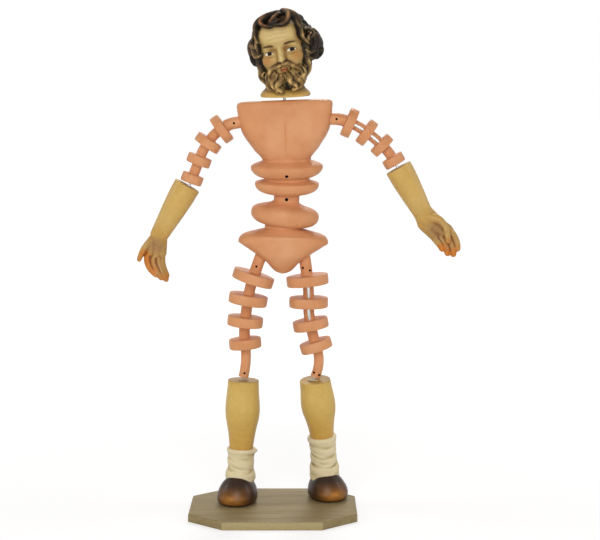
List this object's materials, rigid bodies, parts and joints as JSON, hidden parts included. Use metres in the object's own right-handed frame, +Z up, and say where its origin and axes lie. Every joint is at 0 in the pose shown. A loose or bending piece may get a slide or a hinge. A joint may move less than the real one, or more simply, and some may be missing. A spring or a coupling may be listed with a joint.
{
  "type": "posable shepherd figurine",
  "caption": "Posable unclothed crib figure of a bearded shepherd: carved head, hands and legs on a bendable disc body over wire, standing on an eight-cornered board.",
  "frame": {"origin": "middle of the board's underside", "axes": "+Z up, the figure faces -Y, +X is the figure's left"},
  "size_m": [0.1939, 0.075, 0.3011],
  "materials": {
    "body": "satin soft moulding in a flesh colour",
    "carving": "carved wood, painted: skin, dark hair, cream socks, brown shoes",
    "board": "plain pale wood",
    "wire": "bare soft wire",
    "screw": "plain steel"
  },
  "bodies": {
    "stand": {"base_plate": "board", "right_foot_screw": "screw", "left_foot_screw": "screw", "right_lower_leg": "carving", "left_lower_leg": "carving", "right_leg_wire": "wire", "left_leg_wire": "wire"},
    "right_leg_4": {"right_leg_disc_4": "body", "right_knee_neck": "body"},
    "right_leg_3": {"right_leg_disc_3": "body", "right_leg_neck_3": "body"},
    "right_leg_2": {"right_leg_disc_2": "body", "right_leg_neck_2": "body"},
    "right_leg_1": {"right_leg_disc_1": "body", "right_leg_neck_1": "body"},
    "left_leg_4": {"left_leg_disc_4": "body", "left_knee_neck": "body"},
    "left_leg_3": {"left_leg_disc_3": "body", "left_leg_neck_3": "body"},
    "left_leg_2": {"left_leg_disc_2": "body", "left_leg_neck_2": "body"},
    "left_leg_1": {"left_leg_disc_1": "body", "left_leg_neck_1": "body"},
    "pelvis": {"pelvis": "body", "right_hip_neck": "body", "left_hip_neck": "body", "spine_wire": "wire"},
    "belly": {"belly": "body", "waist_low_neck": "body"},
    "lower_waist": {"lower_waist_disc": "body", "waist_stem_neck": "body"},
    "upper_waist": {"upper_waist_disc": "body", "waist_mid_neck": "body"},
    "chest": {"chest": "body", "waist_top_neck": "body", "right_arm_wire": "wire", "left_arm_wire": "wire"},
    "neck": {"neck_wire": "wire"},
    "head": {"head": "carving"},
    "right_arm_1": {"right_arm_disc_1": "body", "right_shoulder_neck": "body"},
    "right_arm_2": {"right_arm_disc_2": "body", "right_arm_neck_1": "body"},
    "right_arm_3": {"right_arm_disc_3": "body", "right_arm_neck_2": "body"},
    "right_arm_4": {"right_arm_disc_4": "body", "right_arm_neck_3": "body"},
    "right_forearm": {"right_forearm": "carving"},
    "left_arm_1": {"left_arm_disc_1": "body", "left_shoulder_neck": "body"},
    "left_arm_2": {"left_arm_disc_2": "body", "left_arm_neck_1": "body"},
    "left_arm_3": {"left_arm_disc_3": "body", "left_arm_neck_2": "body"},
    "left_arm_4": {"left_arm_disc_4": "body", "left_arm_neck_3": "body"},
    "left_forearm": {"left_forearm": "carving"}
  },
  "joints": [
    {"name": "right_knee", "type": "hinge", "parent": "stand", "child": "right_leg_4", "pos_m": [-0.01591, 0.011, 0.08943], "axis": [1, 0, 0], "range_deg": [-28, 28], "deforming": ["right_knee_neck", "right_leg_wire"]},
    {"name": "right_leg_34", "type": "hinge", "parent": "right_leg_4", "child": "right_leg_3", "pos_m": [-0.01754, 0.011, 0.10763], "axis": [1, 0, 0], "range_deg": [-12, 12], "deforming": ["right_leg_neck_3", "right_leg_wire"]},
    {"name": "right_leg_23", "type": "hinge", "parent": "right_leg_3", "child": "right_leg_2", "pos_m": [-0.01614, 0.011, 0.12088], "axis": [1, 0, 0], "range_deg": [-12, 12], "deforming": ["right_leg_neck_2", "right_leg_wire"]},
    {"name": "right_leg_12", "type": "hinge", "parent": "right_leg_2", "child": "right_leg_1", "pos_m": [-0.01397, 0.011, 0.13419], "axis": [1, 0, 0], "range_deg": [-12, 12], "deforming": ["right_leg_neck_1", "right_leg_wire"]},
    {"name": "left_knee", "type": "hinge", "parent": "stand", "child": "left_leg_4", "pos_m": [0.02916, 0.011, 0.08943], "axis": [1, 0, 0], "range_deg": [-28, 28], "deforming": ["left_knee_neck", "left_leg_wire"]},
    {"name": "left_leg_34", "type": "hinge", "parent": "left_leg_4", "child": "left_leg_3", "pos_m": [0.02373, 0.011, 0.10763], "axis": [1, 0, 0], "range_deg": [-12, 12], "deforming": ["left_leg_neck_3", "left_leg_wire"]},
    {"name": "left_leg_23", "type": "hinge", "parent": "left_leg_3", "child": "left_leg_2", "pos_m": [0.02129, 0.011, 0.12088], "axis": [1, 0, 0], "range_deg": [-12, 12], "deforming": ["left_leg_neck_2", "left_leg_wire"]},
    {"name": "left_leg_12", "type": "hinge", "parent": "left_leg_2", "child": "left_leg_1", "pos_m": [0.02129, 0.011, 0.13419], "axis": [1, 0, 0], "range_deg": [-12, 12], "deforming": ["left_leg_neck_1", "left_leg_wire"]},
    {"name": "right_hip", "type": "hinge", "parent": "right_leg_1", "child": "pelvis", "pos_m": [-0.00896, 0.011, 0.14995], "axis": [1, 0, 0], "range_deg": [-24, 24], "deforming": ["right_hip_neck", "left_hip_neck", "right_leg_wire", "left_leg_wire"]},
    {"name": "waist_low", "type": "hinge", "parent": "pelvis", "child": "belly", "pos_m": [0.00632, 0.01004, 0.1719], "axis": [1, 0, 0], "range_deg": [-5, 5], "deforming": ["waist_low_neck", "spine_wire"]},
    {"name": "waist_stem", "type": "hinge", "parent": "belly", "child": "lower_waist", "pos_m": [0.0082, 0.00883, 0.1891], "axis": [0, 1, 0], "range_deg": [-8, 8], "deforming": ["waist_stem_neck", "spine_wire"]},
    {"name": "waist_mid", "type": "hinge", "parent": "lower_waist", "child": "upper_waist", "pos_m": [0.00839, 0.00738, 0.20092], "axis": [1, 0, 0], "range_deg": [-5, 5], "deforming": ["waist_mid_neck", "spine_wire"]},
    {"name": "waist_top", "type": "hinge", "parent": "upper_waist", "child": "chest", "pos_m": [0.00822, 0.00593, 0.21268], "axis": [0, 1, 0], "range_deg": [-4, 4], "deforming": ["waist_top_neck", "spine_wire"]},
    {"name": "neck_nod", "type": "hinge", "parent": "chest", "child": "neck", "pos_m": [0.00696, 0.00278, 0.24871], "axis": [1, 0, 0], "range_deg": [-5, 5], "deforming": ["neck_wire"]},
    {"name": "head_turn", "type": "hinge", "parent": "neck", "child": "head", "pos_m": [0.00696, 0.00278, 0.24871], "axis": [-0.0349, -0.0872, 0.9956], "range_deg": [-35, 35]},
    {"name": "right_shoulder", "type": "hinge", "parent": "chest", "child": "right_arm_1", "pos_m": [-0.02587, 0.00393, 0.2331], "axis": [0, 1, 0], "range_deg": [-10, 30], "deforming": ["right_shoulder_neck", "right_arm_wire"]},
    {"name": "right_arm_12", "type": "hinge", "parent": "right_arm_1", "child": "right_arm_2", "pos_m": [-0.03468, 0.00393, 0.22693], "axis": [-0.7071, 0, 0.7071], "range_deg": [-22, 22], "deforming": ["right_arm_neck_1", "right_arm_wire"]},
    {"name": "right_arm_23", "type": "hinge", "parent": "right_arm_2", "child": "right_arm_3", "pos_m": [-0.04134, 0.00393, 0.21743], "axis": [0, 1, 0], "range_deg": [-14, 18], "deforming": ["right_arm_neck_2", "right_arm_wire"]},
    {"name": "right_arm_34", "type": "hinge", "parent": "right_arm_3", "child": "right_arm_4", "pos_m": [-0.04549, 0.00393, 0.2066], "axis": [-0.9336, 0, 0.3584], "range_deg": [-22, 22], "deforming": ["right_arm_neck_3", "right_arm_wire"]},
    {"name": "right_elbow", "type": "hinge", "parent": "right_arm_4", "child": "right_forearm", "pos_m": [-0.04892, 0.00393, 0.19768], "axis": [-0.9026, 0, 0.4305], "range_deg": [-11, 11], "deforming": ["right_arm_wire"]},
    {"name": "left_shoulder", "type": "hinge", "parent": "chest", "child": "left_arm_1", "pos_m": [0.04083, 0.00393, 0.23591], "axis": [0, -1, 0], "range_deg": [-10, 30], "deforming": ["left_shoulder_neck", "left_arm_wire"]},
    {"name": "left_arm_12", "type": "hinge", "parent": "left_arm_1", "child": "left_arm_2", "pos_m": [0.0507, 0.00393, 0.23161], "axis": [-0.4962, 0, -0.8682], "range_deg": [-22, 22], "deforming": ["left_arm_neck_1", "left_arm_wire"]},
    {"name": "left_arm_23", "type": "hinge", "parent": "left_arm_2", "child": "left_arm_3", "pos_m": [0.06008, 0.00393, 0.2248], "axis": [0, -1, 0], "range_deg": [-14, 18], "deforming": ["left_arm_neck_2", "left_arm_wire"]},
    {"name": "left_arm_34", "type": "hinge", "parent": "left_arm_3", "child": "left_arm_4", "pos_m": [0.06843, 0.00393, 0.21674], "axis": [-0.7859, 0, -0.6184], "range_deg": [-22, 22], "deforming": ["left_arm_neck_3", "left_arm_wire"]},
    {"name": "left_elbow", "type": "hinge", "parent": "left_arm_4", "child": "left_forearm", "pos_m": [0.07326, 0.00393, 0.2085], "axis": [-0.8686, 0, -0.4955], "range_deg": [-11, 11], "deforming": ["left_arm_wire"]}
  ],
  "couplings": [
    {"joint": "left_knee", "follows": "right_knee", "ratio": 1},
    {"joint": "left_leg_34", "follows": "right_leg_34", "ratio": 1},
    {"joint": "left_leg_23", "follows": "right_leg_23", "ratio": 1},
    {"joint": "left_leg_12", "follows": "right_leg_12", "ratio": 1}
  ]
}
